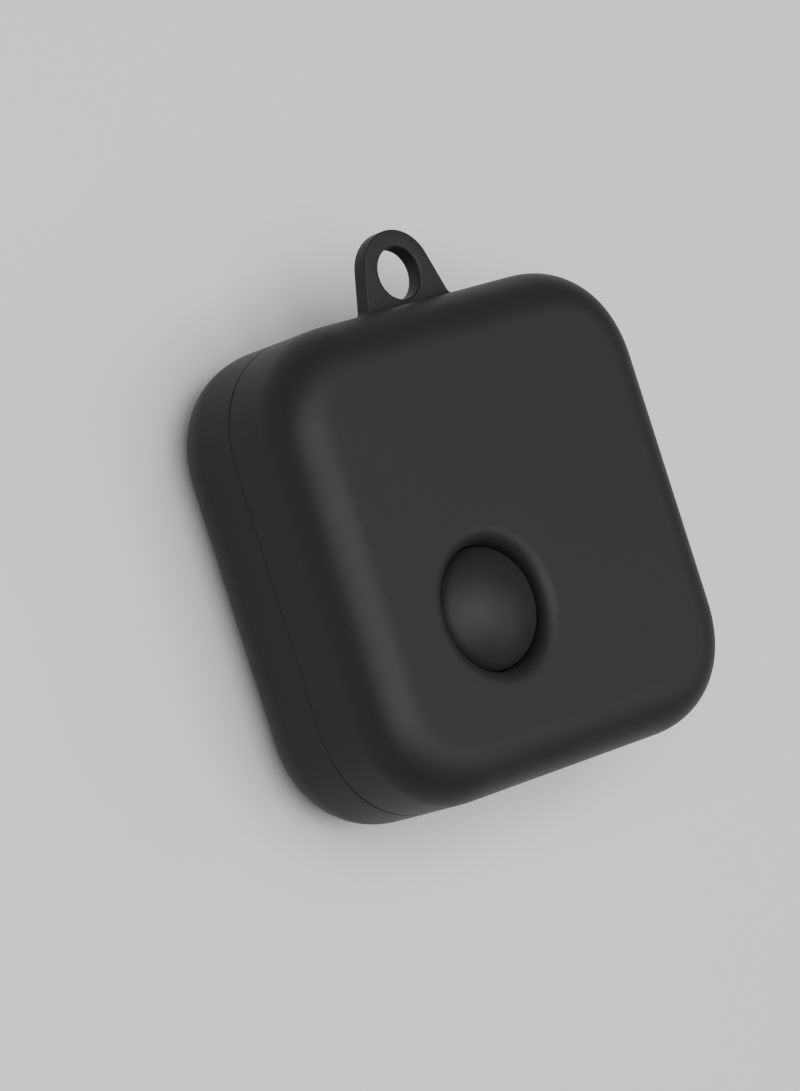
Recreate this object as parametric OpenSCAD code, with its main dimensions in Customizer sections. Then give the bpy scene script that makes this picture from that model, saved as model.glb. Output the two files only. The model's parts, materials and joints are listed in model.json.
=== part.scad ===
// Bluetooth tracker tag: two soft-touch shells that meet at a seam, a domed push button
// in a round recess, a hanging lug, and the board, sounder and coin cell inside.
// The tag lies on its back: +Z points out of the front face and +Y towards the lug.
// The origin is the centre of the back face.

/* [Body] */
// Width and height of the square body
body_w = 40; // [40:0.5:44]
// Corner radius seen from the front
corner_r = 8.8; // [8:0.2:9.6]
// Thickness from the back face to the front face
body_t = 17.2; // [17.2:0.2:19]
// Height of the seam above the back face
seam_z = 9; // [8.6:0.2:9.4]
// Radius round the edge of the front face
front_fillet = 4.1; // [3:0.1:4.5]
// Radius round the edge of the back face
back_fillet = 5; // [3.5:0.25:5.5]
// Wall thickness of both shells
wall = 2; // [1.9:0.05:2.1]
// Depth of the fine V groove along the seam
seam_groove = 0.14; // [0.1:0.02:0.3]

/* [Lug] */
// Radius of the hole that a ring or cord passes through
lug_hole_r = 2.2; // [1.8:0.1:2.3]
// Outer radius of the lug round that hole
lug_r = 3.65; // [3.4:0.05:3.9]
// Height of the hole's centre above the top edge of the body
lug_rise = 2.7; // [2.5:0.1:3.2]
// Half-width of the lug where it meets the body
lug_foot = 4.65; // [4.3:0.05:5.2]
// Thickness of the lug
lug_t = 1.7; // [1.4:0.1:1.8]
// Distance from the seam to the back of the lug
lug_seam_gap = 1.8; // [1.2:0.1:2.2]
// Radius of the blend between the lug and the body
lug_blend = 0.7; // [0.4:0.1:1]

/* [Button] */
// Place of the button left of the centre line
button_left = 5; // [4.4:0.1:5.4]
// Place of the button below the centre line
button_down = 5.6; // [5:0.1:6]
// Radius of the straight wall of the recess
recess_r = 5.3; // [5.2:0.05:5.4]
// Rounding of the lip of the recess
lip_r = 1.3; // [1:0.1:1.4]
// Radius of curvature over the middle of the button's dome
dome_r = 7.5; // [7:0.1:7.5]
// Height of the dome's top above the front face
dome_rise = 0.9; // [0.7:0.05:1]

/* [Coin cell] */
// Diameter of the coin cell
cell_d = 24.5; // [24.4:0.1:24.6]
// Thickness of the coin cell
cell_t = 7.7; // [7.6:0.05:7.7]
// Thickness of the foam cushion under the cell
cushion_t = 0.5; // [0.4:0.1:0.5]

/* [Board] */
// Thickness of the circuit board
board_t = 0.8; // [0.6:0.1:0.9]
// Distance of each board screw from the centre lines
screw_at = 13.2; // [13:0.1:13.4]
// Radius of the sounder's brass plate
buzzer_r = 7.5; // [6.5:0.25:7.5]
// Distance of the sounder's centre from both centre lines
buzzer_at = 6; // [5.8:0.1:6.1]

/* [Hidden] */
$fn = 96;

half = body_w / 2;
sink = 0.2;                                  // how far joined solids reach into each other
pierce = 1;                                  // how far cutting solids stand out

// Seam: the front shell's tongue stands inside the rear shell's skirt
skirt_t = 0.95;
tongue_gap = 0.1;
tongue_t = wall - skirt_t - tongue_gap;
step_depth = 1.8;
gasket_t = 0.5;
gasket_gap = 0.08;
tongue_h = step_depth - gasket_t;
pry_w = 7;
pry_h = 0.5;
pry_depth = 0.7;

// Coin cell, standing on its cushion
cell_r = cell_d / 2;
cell_z = wall + cushion_t;
cell_top = cell_z + cell_t;
can_t = 0.3;
can_fillet = 0.8;
cap_r = 10.3;
cap_rise = 0.55;
cap_depth = 1.3;
crimp_z = cell_top - cap_rise;
crimp_r = cap_r + 0.75;
crimp_t = 0.28;
film = 0.05;                                 // gap between parts of the cell
core_r = cell_r - can_t - 0.4;
rib_gap = 0.2;
rib_t = 1;
rib_span = 44;
rib_top = 7.2;

// Board and its cover
cover_gap = 0.2;
cover_t = 0.8;
cover_z = cell_top + cover_gap;
board_z = cover_z + cover_t;
board_top = board_z + board_t;
board_half = half - wall - 0.6;
board_corner = 6.2;
cover_half = board_half - 0.8;
cover_corner = 5.4;

// Screws and the posts that they hold in
post_r = 2;
pilot_r = 0.75;
shaft_r = 0.8;
shaft_hole_r = 0.95;
head_r = 1.5;
head_h = 0.8;
screw_tip = board_top + 2.6;
screw_point_r = 0.2;
pilot_spare = 0.2;                           // depth of the pilot hole past the screw's tip
driver_slot_w = 0.42;
driver_slot_l = 1.7;
driver_slot_d = 0.45;

// Button, its guide and its seal
flange_r = 6.35;
flange_gap = 0.1;
flange_t = 0.55;
seal_t = 0.25;
seat_gap = 0.02;                             // gap between faces that rest on each other
guide_r = 7.5;
dome_top = body_t + dome_rise;
dome_gap = 0.15;                             // between the dome's side and the recess wall
dome_edge_r = recess_r - dome_gap;
dome_turn = [0.6, 0.8];                      // slope at which the dome turns into its shoulder
shoulder_r = (dome_edge_r - dome_r * dome_turn.x) / (1 - dome_turn.x);
seat_depth = 3.1;
seat_z = body_t - seat_depth;
flange_top = seat_z - seat_gap - seal_t;
dome_t = 1.2;
stem_r = 1.2;
guide_depth = 1.1;

// Switch under the button
switch_w = 6;
switch_h = 0.8;
switch_plate_t = 0.1;
switch_well_r = 2.6;
switch_floor = 0.12;
plunger_r = 1.7;
plunger_top = board_top + 1.5;
plunger_low = board_top + 0.62;
stem_gap = 0.02;
snap_r = 2.4;
snap_t = 0.08;
snap_rise = 0.46;

// Sounder: a brass plate with a ceramic disc, taped to a ring inside the front shell
ceramic_r = buzzer_r - 2;
buzzer_t = 0.2;
tape_t = 0.15;
tape_w = 0.9;
ring_h = 0.6;
ring_rim = 0.1;
ring_z = body_t - wall - ring_h;
plate_z = ring_z - tape_t - buzzer_t;
ceramic_z = plate_z - buzzer_t;

// Stamped contacts
strip_t = 0.15;
leaf_t = 0.2;
contact_gap = 0.05;

shell_colour = "#3b3b3d";
button_colour = "#39393b";
steel_colour = "#c9cbce";
brass_colour = "#c9a24a";
board_colour = "#1d4f3a";
plastic_colour = "#202224";
silicone_colour = "#8d9196";

// ---- shared shapes ----

// Half of a section through a shell: open at the bottom, rounded at the closed corner
module rounded_section(reach, height, fillet) {
    square([reach - fillet, height]);
    translate([reach - fillet, 0]) square([fillet, height - fillet]);
    translate([reach - fillet, height - fillet]) intersection() {
        circle(fillet);
        square(fillet);
    }
}

// Sweeps a section round a rounded square. The section's X starts at the corner's centre.
module around(half_w, radius) {
    core = half_w - radius;
    for (turn = [0 : 90 : 270]) rotate([0, 0, turn]) translate([core, core, 0]) {
        rotate_extrude(angle = 90) children();
        rotate([90, 0, 0]) linear_extrude(2 * core) children();
    }
}

module core_block(half_w, radius, height) {
    core = half_w - radius;
    translate([-core, -core, 0]) cube([2 * core, 2 * core, height]);
}

module rounded_plate(half_w, radius, height) {
    around(half_w, radius) square([radius, height]);
    core_block(half_w, radius, height);
}

module ring(outer, inner, height) {
    rotate_extrude() translate([inner, 0]) square([outer - inner, height]);
}

module at_screws() {
    for (x = [-1, 1], y = [-1, 1]) translate([x * screw_at, y * screw_at, 0]) children();
}

module at_button() {
    translate([-button_left, -button_down, 0]) children();
}

module at_buzzer() {
    translate([buzzer_at, buzzer_at, 0]) children();
}

// ---- rear half ----

module rear_wall_section() {
    translate([0, seam_z]) mirror([0, 1]) difference() {
        rounded_section(corner_r, seam_z, back_fillet);
        translate([0, -pierce])
            rounded_section(corner_r - wall, seam_z - wall + pierce, back_fillet - wall);
        translate([corner_r - wall - sink, -pierce])
            square([wall - skirt_t + sink, step_depth + pierce]);
        translate([corner_r, 0]) rotate(45) square(seam_groove * sqrt(2), center = true);
    }
}

// Slot for a coin or a fingernail, half of it in each shell
module pry_slot() {
    translate([half - pry_depth, -pry_w / 2, seam_z - pry_h])
        cube([pry_depth + pierce, pry_w, 2 * pry_h]);
}

module rear_shell() {
    color(shell_colour) difference() {
        union() {
            around(half, corner_r) rear_wall_section();
            core_block(half, corner_r, wall);
            for (turn = [45 : 90 : 315]) rotate([0, 0, turn - rib_span / 2])
                rotate_extrude(angle = rib_span) translate([cell_r + rib_gap, wall - sink])
                    square([rib_t, rib_top - wall + sink]);
        }
        pry_slot();
    }
}

module seam_gasket() {
    color(silicone_colour) translate([0, 0, seam_z - step_depth]) around(half, corner_r)
        translate([corner_r - wall + gasket_gap, 0])
            square([wall - skirt_t - 2 * gasket_gap, gasket_t]);
}

module cell_cushion() {
    outer_r = 8;
    inner_r = 3;
    color("#2b2b2d") translate([0, 0, wall]) ring(outer_r, inner_r, cushion_t);
}

// ---- coin cell ----

module cell_can() {
    color(steel_colour) translate([0, 0, crimp_z]) mirror([0, 0, 1]) rotate_extrude() {
        difference() {
            rounded_section(cell_r, crimp_z - cell_z, can_fillet);
            translate([0, -pierce])
                rounded_section(cell_r - can_t, crimp_z - cell_z - can_t + pierce, can_fillet - can_t);
        }
        translate([crimp_r, 0]) square([cell_r - can_t - crimp_r, crimp_t]);
    }
}

module cell_cap() {
    cap_fillet = 0.45;
    color("#d6d8da") translate([0, 0, cell_top - cap_depth]) rotate_extrude() {
        difference() {
            rounded_section(cap_r, cap_depth, cap_fillet);
            translate([0, -pierce])
                rounded_section(cap_r - can_t, cap_depth - can_t + pierce, cap_fillet - can_t);
        }
    }
}

module cell_grommet() {
    depth = cap_depth - cap_rise;
    color("#3a6fa0") translate([0, 0, crimp_z - depth]) rotate_extrude() {
        translate([cap_r + film, 0])
            square([crimp_r - cap_r - 2 * film, depth]);
        translate([crimp_r - film, 0])
            square([cell_r - can_t - crimp_r, depth - crimp_t - film]);
    }
}

module cell_core() {
    color("#1a1a1a") translate([0, 0, cell_z + can_t + film])
        cylinder(r = core_r, h = cell_t - cap_depth - can_t - 2 * film);
}

// ---- front half ----

module front_wall_section() {
    height = body_t - seam_z;
    translate([0, seam_z]) {
        difference() {
            rounded_section(corner_r, height, front_fillet);
            translate([0, -pierce])
                rounded_section(corner_r - wall, height - wall + pierce, front_fillet - wall);
            translate([corner_r, 0]) rotate(45) square(seam_groove * sqrt(2), center = true);
        }
        translate([corner_r - wall, -tongue_h]) square([tongue_t, tongue_h]);
    }
}

// The lug's straight sides run from its foot to where they touch its round end
module lug_outline() {
    foot_span = norm([lug_foot, lug_rise]);
    lean = acos(lug_r / foot_span) - atan(lug_rise / lug_foot);
    touch = lug_r * [cos(lean), sin(lean)] + [0, lug_rise];
    out = [cos(lean), sin(lean)];
    blend_x = lug_foot + lug_blend * (1 - out[1]) / out[0];
    blend_centre = [blend_x, lug_blend];
    translate([0, lug_rise]) circle(lug_r);
    polygon([
        [lug_foot, 0], touch, [-touch[0], touch[1]], [-lug_foot, 0],
        [-lug_foot, -wall / 2], [lug_foot, -wall / 2]
    ]);
    for (side = [0, 1]) mirror([side, 0]) difference() {
        polygon([
            [0, -wall / 2], [blend_x, -wall / 2], [blend_x, 0],
            blend_centre - lug_blend * out, [0, lug_blend]
        ]);
        translate(blend_centre) circle(lug_blend);
    }
}

module lug() {
    translate([0, half, seam_z + lug_seam_gap]) difference() {
        linear_extrude(lug_t) lug_outline();
        translate([0, lug_rise, -pierce]) cylinder(r = lug_hole_r, h = lug_t + 2 * pierce);
    }
}

// The recess: a straight wall with a rounded lip, and a wider guide for the button's flange
module recess_cut() {
    rotate_extrude() {
        translate([0, seat_z - pierce]) square([recess_r, body_t - seat_z + 2 * pierce]);
        translate([recess_r, body_t - lip_r]) difference() {
            square([lip_r, lip_r + pierce]);
            translate([lip_r, 0]) circle(lip_r);
        }
        translate([0, seat_z - guide_depth - pierce])
            square([flange_r + flange_gap, guide_depth + pierce]);
    }
}

module front_shell() {
    inner_z = body_t - wall + sink;
    color(shell_colour) difference() {
        union() {
            around(half, corner_r) front_wall_section();
            translate([0, 0, body_t - wall]) core_block(half, corner_r, wall);
            lug();
            at_button() translate([0, 0, seat_z - guide_depth])
                cylinder(r = guide_r, h = inner_z - seat_z + guide_depth);
            at_screws() translate([0, 0, board_top]) cylinder(r = post_r, h = inner_z - board_top);
            at_buzzer() translate([0, 0, ring_z])
                ring(buzzer_r + ring_rim, buzzer_r - tape_w, ring_h + sink);
        }
        at_button() recess_cut();
        at_screws() translate([0, 0, board_top - pierce])
            cylinder(r = pilot_r, h = screw_tip - board_top + pilot_spare + pierce);
        pry_slot();
    }
}

// A plate that keeps the cell off the board, with a window for the negative leaf,
// slots for the legs of the positive clips and shallow pockets over their feet
module board_cover() {
    window = [13, 7];
    slot = [1.7, 3.6];
    slot_x = cell_r - 0.15;
    pocket = [4.2, 4];
    color(plastic_colour) translate([0, 0, cover_z]) difference() {
        rounded_plate(cover_half, cover_corner, cover_t);
        translate([-window[0] / 2, -window[1] / 2, -pierce])
            cube([window[0], window[1], cover_t + 2 * pierce]);
        for (side = [0, 1]) mirror([side, 0, 0])
            translate([slot_x, -slot[1] / 2, -pierce])
                cube([slot[0], slot[1], cover_t + 2 * pierce]);
        for (side = [0, 1]) mirror([side, 0, 0])
            translate([cell_r, -pocket[1] / 2, cover_t - leaf_t - contact_gap])
                cube([pocket[0], pocket[1], pierce]);
        at_screws() translate([0, 0, -pierce]) cylinder(r = shaft_hole_r, h = cover_t + 2 * pierce);
    }
}

module main_board() {
    color(board_colour) translate([0, 0, board_z]) difference() {
        rounded_plate(board_half, board_corner, board_t);
        at_screws() translate([0, 0, -pierce]) cylinder(r = shaft_hole_r, h = board_t + 2 * pierce);
    }
}

module board_screws() {
    color(steel_colour) at_screws() difference() {
        union() {
            translate([0, 0, cover_z - head_h]) cylinder(r = head_r, h = head_h);
            translate([0, 0, cover_z]) cylinder(r = shaft_r, h = screw_tip - shaft_r - cover_z);
            translate([0, 0, screw_tip - shaft_r]) cylinder(r1 = shaft_r, r2 = screw_point_r, h = shaft_r);
        }
        for (turn = [0, 90]) rotate([0, 0, turn])
            translate([-driver_slot_l / 2, -driver_slot_w / 2, cover_z - head_h - pierce])
                cube([driver_slot_l, driver_slot_w, driver_slot_d + pierce]);
    }
}

// ---- parts soldered to the board ----

// A chip: a flat block with its pin-one dimple
module chip(place, size, height) {
    dimple_r = 0.25;
    dimple_in = 0.6;
    dimple_depth = 0.05;
    translate([place[0], place[1], board_top]) difference() {
        translate([-size[0] / 2, -size[1] / 2, 0]) cube([size[0], size[1], height]);
        translate([dimple_in - size[0] / 2, size[1] / 2 - dimple_in, height - dimple_depth])
            cylinder(r = dimple_r, h = pierce);
    }
}

// A metal can on a ceramic base
module crystal(place, size, height) {
    base_t = 0.25;
    rim = 0.15;
    translate([place[0], place[1], board_top]) {
        translate([-size[0] / 2, -size[1] / 2, 0]) cube([size[0], size[1], base_t]);
        translate([-size[0] / 2 + rim, -size[1] / 2 + rim, base_t])
            cube([size[0] - 2 * rim, size[1] - 2 * rim, height - base_t]);
    }
}

// A chip capacitor or resistor: a body between two slightly larger end caps
module chip_part(size) {
    cap_l = size[0] * 0.22;
    rim = 0.04;
    translate([-size[0] / 2, -size[1] / 2 + rim, 0]) cube([size[0], size[1] - 2 * rim, size[2] - rim]);
    for (side = [0, 1]) mirror([side, 0, 0])
        translate([size[0] / 2 - cap_l, -size[1] / 2, 0]) cube([cap_l, size[1], size[2]]);
}

radio_at = [8, -4.5];
radio_w = 6;

module radio_chip() {
    color(plastic_colour) chip(radio_at, [radio_w, radio_w], 0.85);
}

module main_crystal() {
    color(steel_colour) crystal(radio_at + [0, 6], [2.5, 2], 0.6);
}

module clock_crystal() {
    color(steel_colour) crystal(radio_at + [5.6, 0.5], [1.5, 3.2], 0.75);
}

module motion_sensor() {
    color(plastic_colour) chip([-12.6, 4], [2, 2], 0.95);
}

driver_at = [-5, 11.5];

module driver_chip() {
    color(plastic_colour) chip(driver_at, [3, 3], 0.75);
}

// A power inductor: a drum between two square ferrite plates
module drive_coil() {
    coil_w = 4;
    plate_t = 0.4;
    coil_h = 1.8;
    color("#4a4a4c") translate([driver_at[0], driver_at[1] - 5.4, board_top]) {
        for (z = [0, coil_h - plate_t])
            translate([-coil_w / 2, -coil_w / 2, z]) cube([coil_w, coil_w, plate_t]);
        translate([0, 0, plate_t]) cylinder(r = coil_w / 2 - 0.25, h = coil_h - 2 * plate_t);
    }
}

module ceramic_capacitors() {
    small = [1, 0.5, 0.5];
    large = [1.6, 0.8, 0.8];
    color("#b08d62") {
        for (i = [0 : 3]) translate([radio_at[0] - 2.7 + 1.8 * i, radio_at[1] - 4.1, board_top])
            rotate([0, 0, 90]) chip_part(small);
        for (i = [0 : 2]) translate([radio_at[0] - 4.2, radio_at[1] - 1.8 + 1.8 * i, board_top])
            chip_part(small);
        for (side = [-1, 1]) translate([radio_at[0] + 2.4 * side, radio_at[1] + 6, board_top])
            rotate([0, 0, 90]) chip_part(small);
        for (i = [0 : 2]) translate([driver_at[0] - 4, driver_at[1] - 1.6 + 1.6 * i, board_top])
            chip_part(large);
    }
}

module chip_resistors() {
    small = [1, 0.5, 0.35];
    color("#26282b") {
        for (i = [0 : 2]) translate([driver_at[0] + 3, driver_at[1] - 1.2 + 1.2 * i, board_top])
            chip_part(small);
        for (i = [0 : 2]) translate([-12.5 + 1.4 * i, 7.6, board_top])
            rotate([0, 0, 90]) chip_part(small);
    }
}

// A meander of copper along the board's lower right edge
module antenna_trace() {
    trace_w = 0.6;
    trace_t = 0.05;
    pitch = 1.5;
    fingers = 6;
    finger_h = 3;
    color("#c98d4f") translate([-0.5, -board_half + 1, board_top]) {
        for (i = [0 : fingers]) translate([i * pitch, 0, 0]) cube([trace_w, finger_h, trace_t]);
        for (i = [0 : fingers - 1]) translate([i * pitch, i % 2 == 0 ? finger_h - trace_w : 0, 0])
            cube([pitch + trace_w, trace_w, trace_t]);
    }
}

// ---- battery contacts under the board ----

// A leaf that slopes down from the board and bears on the cell's cap with its rounded tip
module negative_contact() {
    base_l = 3;
    leaf_w = 3;
    tip_r = 0.4;
    tip_x = 4.4;
    tip_z = cell_top + contact_gap + tip_r;
    leaf_end = tip_x - tip_r + leaf_t;
    color(brass_colour) translate([-2, leaf_w / 2, 0]) rotate([90, 0, 0]) linear_extrude(leaf_w) {
        polygon([
            [-base_l, board_z], [0, board_z], [leaf_end, tip_z + leaf_t],
            [leaf_end, tip_z], [0, board_z - leaf_t], [-base_l, board_z - leaf_t]
        ]);
        translate([tip_x, tip_z]) difference() {
            circle(tip_r);
            circle(tip_r - leaf_t);
            translate([-pierce, leaf_t / 2]) square(2 * pierce);
        }
    }
}

// Two clips: each hangs from the board and bows in towards the side of the cell
module positive_contacts() {
    foot_l = 2.6;
    clip_w = 2.6;
    leg_x = cell_r + 0.75;
    leg_end = board_z - 5.6;
    bow_z = board_z - 3.6;
    bow = leg_x - cell_r - contact_gap;
    color(brass_colour) for (side = [0, 1]) mirror([side, 0, 0])
        translate([0, clip_w / 2, 0]) rotate([90, 0, 0]) linear_extrude(clip_w) {
            translate([leg_x, board_z - leaf_t]) square([foot_l, leaf_t]);
            polygon([
                [leg_x, board_z], [leg_x, bow_z + 1.6], [leg_x - bow, bow_z], [leg_x, leg_end],
                [leg_x + leaf_t, leg_end], [leg_x - bow + leaf_t, bow_z],
                [leg_x + leaf_t, bow_z + 1.6], [leg_x + leaf_t, board_z]
            ]);
        }
}

// ---- sounder ----

module buzzer_plate() {
    color(brass_colour) at_buzzer() translate([0, 0, plate_z]) cylinder(r = buzzer_r, h = buzzer_t);
}

module buzzer_ceramic() {
    color("#d9d6cc") at_buzzer() translate([0, 0, ceramic_z]) cylinder(r = ceramic_r, h = buzzer_t);
}

module buzzer_tape() {
    color("#e6e6e2") at_buzzer() translate([0, 0, ring_z - tape_t])
        ring(buzzer_r, buzzer_r - tape_w, tape_t);
}

// A C-shaped spring clip that stands on the board and bears on the disc above it
module c_clip(place, top_z) {
    clip_w = 1.2;
    leg = 0.9;
    rise = top_z - board_top - seat_gap;
    bend_r = rise / 2;
    translate([place[0], place[1] + clip_w / 2, board_top]) rotate([90, 0, 0])
        linear_extrude(clip_w) {
            translate([0, bend_r]) difference() {
                circle(bend_r);
                circle(bend_r - strip_t);
                translate([0, -bend_r - pierce]) square(2 * bend_r + 2 * pierce);
            }
            square([leg, strip_t]);
            translate([0, rise - strip_t]) square([leg, strip_t]);
        }
}

module buzzer_contacts() {
    color(steel_colour) at_buzzer() {
        c_clip([-2.5, 0], ceramic_z);
        c_clip([buzzer_r - 1.2, 0], plate_z);
    }
}

// ---- switch ----

module switch_base() {
    pin = [0.7, 1, 0.2];
    color(plastic_colour) at_button() translate([0, 0, board_top]) {
        difference() {
            translate([-switch_w / 2, -switch_w / 2, 0]) cube([switch_w, switch_w, switch_h]);
            translate([0, 0, switch_floor]) cylinder(r = switch_well_r, h = switch_h);
        }
        for (x = [0, 1], y = [-1, 1]) mirror([x, 0, 0])
            translate([switch_w / 2, y * 2 - pin[1] / 2, 0]) cube(pin);
    }
}

module switch_cover() {
    plate_w = switch_w - 0.3;
    color(steel_colour) at_button() translate([0, 0, board_top + switch_h]) difference() {
        translate([-plate_w / 2, -plate_w / 2, 0]) cube([plate_w, plate_w, switch_plate_t]);
        translate([0, 0, -pierce]) cylinder(r = plunger_r + 0.15, h = 2 * pierce + switch_plate_t);
    }
}

// The domed spring disc that clicks and pushes the plunger back
module snap_dome() {
    sphere_r = (snap_r * snap_r + snap_rise * snap_rise) / (2 * snap_rise);
    color(steel_colour) at_button() translate([0, 0, board_top + switch_floor]) rotate_extrude()
        intersection() {
            translate([0, snap_rise - sphere_r]) difference() {
                circle(sphere_r);
                circle(sphere_r - snap_t);
            }
            square([snap_r, snap_rise]);
        }
}

module switch_plunger() {
    collar_r = plunger_r + 0.4;
    collar_h = board_top + switch_h - 0.03 - plunger_low;
    color("#141414") at_button() {
        translate([0, 0, plunger_low]) cylinder(r = plunger_r, h = plunger_top - plunger_low);
        translate([0, 0, plunger_low]) cylinder(r = collar_r, h = collar_h);
    }
}

// ---- button ----

// A band dome_t wide that follows an arc between two directions from its centre
module arc_band(centre, r, from, to) {
    reach = 2 * r;
    intersection() {
        translate(centre) difference() {
            circle(r);
            circle(r - dome_t);
        }
        polygon([centre, centre + reach * from, centre + reach * (from + to), centre + reach * to]);
    }
}

// The dome is a wide arc over the middle and a tighter one round the shoulder
module button_cap() {
    flange_low = flange_top - flange_t;
    skirt_inner_r = dome_edge_r - dome_t;
    stem_low = plunger_top + stem_gap;
    centre = [0, dome_top - dome_r];
    shoulder = centre + (dome_r - shoulder_r) * dome_turn;
    color(button_colour) at_button() rotate_extrude() {
        arc_band(centre, dome_r, [0, 1], dome_turn);
        arc_band(shoulder, shoulder_r, dome_turn, [1, 0]);
        polygon([
            [skirt_inner_r, flange_low], [flange_r, flange_low], [flange_r, flange_top],
            [dome_edge_r, flange_top], [dome_edge_r, shoulder.y], [skirt_inner_r, shoulder.y]
        ]);
        translate([0, stem_low]) square([stem_r, dome_top - dome_t / 2 - stem_low]);
    }
}

module button_seal() {
    color(silicone_colour) at_button() translate([0, 0, flange_top])
        ring(flange_r, dome_edge_r + 0.05, seal_t);
}

rear_shell();
seam_gasket();
cell_cushion();
cell_can();
cell_cap();
cell_grommet();
cell_core();
front_shell();
board_cover();
main_board();
board_screws();
radio_chip();
main_crystal();
clock_crystal();
motion_sensor();
driver_chip();
drive_coil();
ceramic_capacitors();
chip_resistors();
antenna_trace();
negative_contact();
positive_contacts();
buzzer_plate();
buzzer_ceramic();
buzzer_tape();
buzzer_contacts();
switch_base();
switch_cover();
snap_dome();
switch_plunger();
button_cap();
button_seal();
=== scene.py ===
"""The looks of a bluetooth tracker tag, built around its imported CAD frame.

Shapes are worked out in millimetres in the frame's own axes, and scaled to metres as each
piece is made. The tag lies on its back: +Z points out of the front face, +Y to the lug.
"""

import json
import math

import bmesh
import bpy
import numpy as np
from mathutils import Matrix, Quaternion, Vector, noise


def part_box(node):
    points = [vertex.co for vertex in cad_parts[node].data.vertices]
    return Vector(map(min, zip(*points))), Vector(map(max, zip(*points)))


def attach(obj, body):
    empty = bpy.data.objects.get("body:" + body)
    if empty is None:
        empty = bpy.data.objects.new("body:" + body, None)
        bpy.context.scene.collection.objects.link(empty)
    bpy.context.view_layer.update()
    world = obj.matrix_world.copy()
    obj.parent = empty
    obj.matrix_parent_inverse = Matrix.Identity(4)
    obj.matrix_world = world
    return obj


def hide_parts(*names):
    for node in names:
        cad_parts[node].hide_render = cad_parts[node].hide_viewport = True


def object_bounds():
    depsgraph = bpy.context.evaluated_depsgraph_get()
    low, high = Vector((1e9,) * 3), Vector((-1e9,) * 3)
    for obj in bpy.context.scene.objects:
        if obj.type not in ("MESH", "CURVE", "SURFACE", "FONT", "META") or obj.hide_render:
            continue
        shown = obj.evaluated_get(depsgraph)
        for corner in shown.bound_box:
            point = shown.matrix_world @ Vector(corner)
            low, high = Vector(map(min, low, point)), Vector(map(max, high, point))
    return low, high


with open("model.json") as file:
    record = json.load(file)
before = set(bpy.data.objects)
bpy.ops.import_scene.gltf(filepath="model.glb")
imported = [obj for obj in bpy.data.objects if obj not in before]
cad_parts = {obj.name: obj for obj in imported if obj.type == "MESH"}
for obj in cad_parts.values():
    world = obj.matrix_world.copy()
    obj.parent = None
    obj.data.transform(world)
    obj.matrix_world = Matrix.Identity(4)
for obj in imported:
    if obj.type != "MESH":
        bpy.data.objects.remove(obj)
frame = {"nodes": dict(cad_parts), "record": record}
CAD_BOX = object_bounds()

MM = 0.001
TURN = 2 * math.pi
QUARTER_TURNS = [np.array([[c, -s], [s, c]]) for c, s in ((1, 0), (0, 1), (-1, 0), (0, -1))]
MERGE = 1e-4                      # points nearer than this are one point
SHARP_ANGLE = math.radians(38)    # edges sharper than this stay crisp
WEAR_ANGLE = math.radians(24)     # edges this sharp wear the most


# ---- places and sizes, from the frame ----

def box(node):
    """Lowest and highest corner of a CAD node."""
    low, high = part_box(node)
    return np.array(low) / MM, np.array(high) / MM


def middle(node):
    """Centre of a CAD node, seen from the front."""
    low, high = box(node)
    return (low[:2] + high[:2]) / 2


def round_size(node):
    """Radius, lowest and highest Z of a round CAD node."""
    low, high = box(node)
    return (high[0] - low[0]) / 2, low[2], high[2]


def solids(node):
    """Lowest and highest corner of each separate solid in a CAD node."""
    bm = bmesh.new()
    bm.from_mesh(frame["nodes"][node].data)
    bmesh.ops.remove_doubles(bm, verts=bm.verts, dist=MERGE * MM)
    left = set(bm.verts)
    found = []
    while left:
        queue = [left.pop()]
        for vert in queue:
            near = {edge.other_vert(vert) for edge in vert.link_edges} & left
            left -= near
            queue += near
        points = np.array([vert.co for vert in queue]) / MM
        found.append((points.min(0), points.max(0)))
    bm.free()
    return sorted(found, key=lambda corners: tuple(corners[0].round(3)))


RECORD = frame["record"]
BODY_OF = {node: body for body, nodes in RECORD["behaviour"]["bodies"].items() for node in nodes}
LUG_HOLE = next(mount for mount in RECORD["mounts"] if mount["name"] == "lug_hole")

HALF = box("rear_shell")[1][0]
SEAM_Z = box("rear_shell")[1][2]
TOP_Z = box("front_shell")[1][2]
TONGUE_Z = box("front_shell")[0][2]
WALL = box("cell_cushion")[0][2]
LEDGE_Z = box("seam_gasket")[0][2]
BOARD_TOP = box("main_board")[1][2]
BUTTON_AT = middle("button_cap")
SEAT_Z = box("button_seal")[1][2] + 0.02
BUZZER_AT = middle("buzzer_plate")
SCREWS = [((low + high) / 2)[:2] for low, high in solids("board_screws")]

CORNER_R = 9.35                   # reach of the body's corners, seen from the front
CORNER_POWER = 2.18               # 2 is a circular corner, more is squarer
FRONT_FILLET = 4.1
BACK_FILLET = 5.0
SKIRT_T = 0.95                    # the rear shell's rim, which the tongue stands inside
TONGUE_INSET = 1.05
SEAM_ROUND = 0.14                 # rounding of each shell's edge at the seam
RECESS_R = 5.3
LIP_R = 1.3
GUIDE_R = 7.5
GUIDE_BORE_R = 6.45
GUIDE_DEPTH = 1.1


# ---- outlines and sections ----

def arc(centre, radius, start, stop, steps):
    """Points on an arc between two angles in degrees."""
    angle = np.radians(np.linspace(start, stop, steps + 1))
    return np.array(centre) + radius * np.stack([np.cos(angle), np.sin(angle)], 1)


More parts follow.
